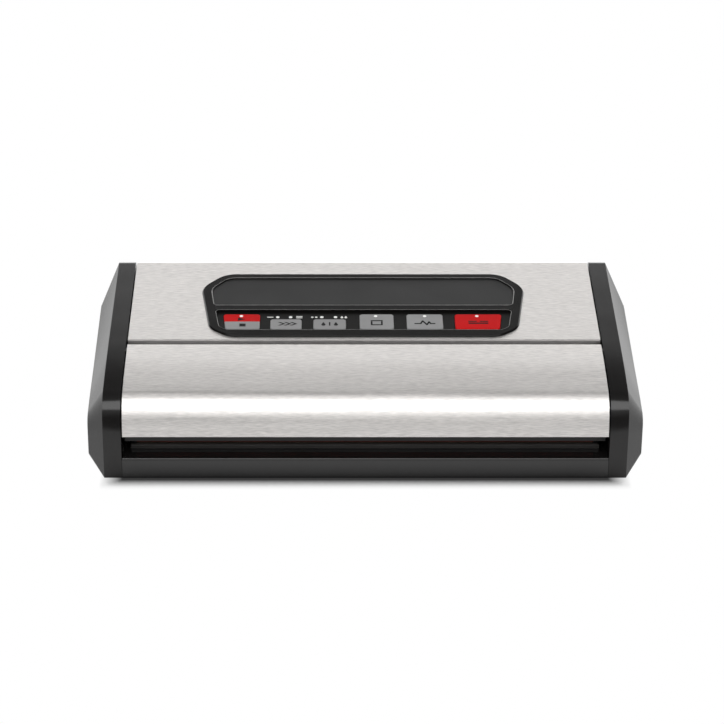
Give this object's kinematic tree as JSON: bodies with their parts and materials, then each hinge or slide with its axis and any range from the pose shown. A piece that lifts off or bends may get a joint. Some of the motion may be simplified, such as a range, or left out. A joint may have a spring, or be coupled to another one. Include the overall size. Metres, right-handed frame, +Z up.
{
  "type": "vacuum sealer",
  "caption": "Countertop vacuum sealer: hinged brushed-steel lid over a bag mouth and seal bar, sloping key panel behind it, glossy black end cheeks with bevelled sides.",
  "frame": {"origin": "middle of the bounding box's underside, on the surface that the feet stand on", "axes": "+X to the user's right along the seal bar, +Y to the back, +Z up; the lid is closed at rest"},
  "size_m": [0.38, 0.182, 0.0898],
  "materials": {
    "cheek_gloss": "gloss moulded",
    "body_black": "fine satin moulded",
    "cover_black": "fine satin moulded",
    "steel": "fine grain along X",
    "bezel_gloss": "gloss moulded",
    "pad_grey": "fine matt",
    "key_black": "satin",
    "key_grey": "satin",
    "key_red": "satin",
    "lamp_white": "clear gloss",
    "gasket_rubber": "soft matt foam",
    "feet_rubber": "matt",
    "seal_bar_plastic": "matt",
    "heater_metal": "plain strip",
    "tape_brown": "woven non-stick tape",
    "silicone_red": "soft matt",
    "fitting_black": "satin",
    "board_green": "satin",
    "switch_black": "matt",
    "motor_zinc": "plain drawn can",
    "pump_grey": "moulded",
    "hose_clear": "soft silicone tube",
    "core_steel": "stacked sheets",
    "coil_tape": "wrapped tape",
    "pin_steel": "turned",
    "button_gloss": "gloss moulded",
    "catch_grey": "moulded"
  },
  "bodies": {
    "base": {"right_cheek": "cheek_gloss", "left_cheek": "cheek_gloss", "base_tub": "body_black", "chamber_deck": "body_black", "lower_gasket": "gasket_rubber", "seal_bar": "seal_bar_plastic", "heating_strip": "heater_metal", "heater_tape": "tape_brown", "suction_port": "fitting_black", "rear_cover": "cover_black", "rear_steel_panel": "steel", "control_bezel": "bezel_gloss", "panel_pad": "pad_grey", "key_deck": "key_black", "deck_dot_1": "lamp_white", "deck_dot_2": "lamp_white", "deck_dot_3": "lamp_white", "deck_dot_4": "lamp_white", "control_board": "board_green", "key_switches": "switch_black", "pump_motor": "motor_zinc", "vacuum_pump": "pump_grey", "suction_hose": "hose_clear", "transformer_core": "core_steel", "transformer_coil": "coil_tape", "supply_board": "board_green", "lid_switch": "switch_black", "cord_gland": "fitting_black", "rubber_feet": "feet_rubber", "base_screws": "pin_steel", "right_hinge_pin": "pin_steel", "left_hinge_pin": "pin_steel"},
    "lid": {"lid_steel_panel": "steel", "lid_frame": "cover_black", "lid_pan": "body_black", "upper_gasket": "gasket_rubber", "pressure_strip": "silicone_red", "right_lid_strike": "pin_steel", "left_lid_strike": "pin_steel"},
    "right_release": {"right_release_button": "button_gloss", "right_latch_catch": "catch_grey"},
    "left_release": {"left_release_button": "button_gloss", "left_latch_catch": "catch_grey"},
    "start_key": {"key_start": "key_red", "key_stop": "key_grey", "key_start_dot": "lamp_white"},
    "speed_key": {"key_speed": "key_grey"},
    "food_key": {"key_food": "key_grey"},
    "container_key": {"key_container": "key_grey", "key_container_dot": "lamp_white"},
    "pulse_key": {"key_pulse": "key_grey", "key_pulse_dot": "lamp_white"},
    "seal_key": {"key_seal": "key_red", "key_seal_dot": "lamp_white"}
  },
  "joints": [
    {"name": "lid_hinge", "type": "hinge", "parent": "base", "child": "lid", "pos_m": [0, -0.0246, 0.06823], "axis": [-1, 0, 0], "range_deg": [0, 70]},
    {"name": "right_release_slide", "type": "slide", "parent": "base", "child": "right_release", "axis": [-1, 0, 0], "range_m": [0, 0.0025], "stiffness_N_per_m": 400, "springref_m": -0.001},
    {"name": "left_release_slide", "type": "slide", "parent": "base", "child": "left_release", "axis": [1, 0, 0], "range_m": [0, 0.0025], "stiffness_N_per_m": 400, "springref_m": -0.001},
    {"name": "start_press", "type": "slide", "parent": "base", "child": "start_key", "axis": [0, 0.1564, -0.9877], "range_m": [0, 0.0006], "stiffness_N_per_m": 1500, "springref_m": -0.0003},
    {"name": "speed_press", "type": "slide", "parent": "base", "child": "speed_key", "axis": [0, 0.1564, -0.9877], "range_m": [0, 0.0006], "stiffness_N_per_m": 1500, "springref_m": -0.0003},
    {"name": "food_press", "type": "slide", "parent": "base", "child": "food_key", "axis": [0, 0.1564, -0.9877], "range_m": [0, 0.0006], "stiffness_N_per_m": 1500, "springref_m": -0.0003},
    {"name": "container_press", "type": "slide", "parent": "base", "child": "container_key", "axis": [0, 0.1564, -0.9877], "range_m": [0, 0.0006], "stiffness_N_per_m": 1500, "springref_m": -0.0003},
    {"name": "pulse_press", "type": "slide", "parent": "base", "child": "pulse_key", "axis": [0, 0.1564, -0.9877], "range_m": [0, 0.0006], "stiffness_N_per_m": 1500, "springref_m": -0.0003},
    {"name": "seal_press", "type": "slide", "parent": "base", "child": "seal_key", "axis": [0, 0.1564, -0.9877], "range_m": [0, 0.0006], "stiffness_N_per_m": 1500, "springref_m": -0.0003}
  ]
}
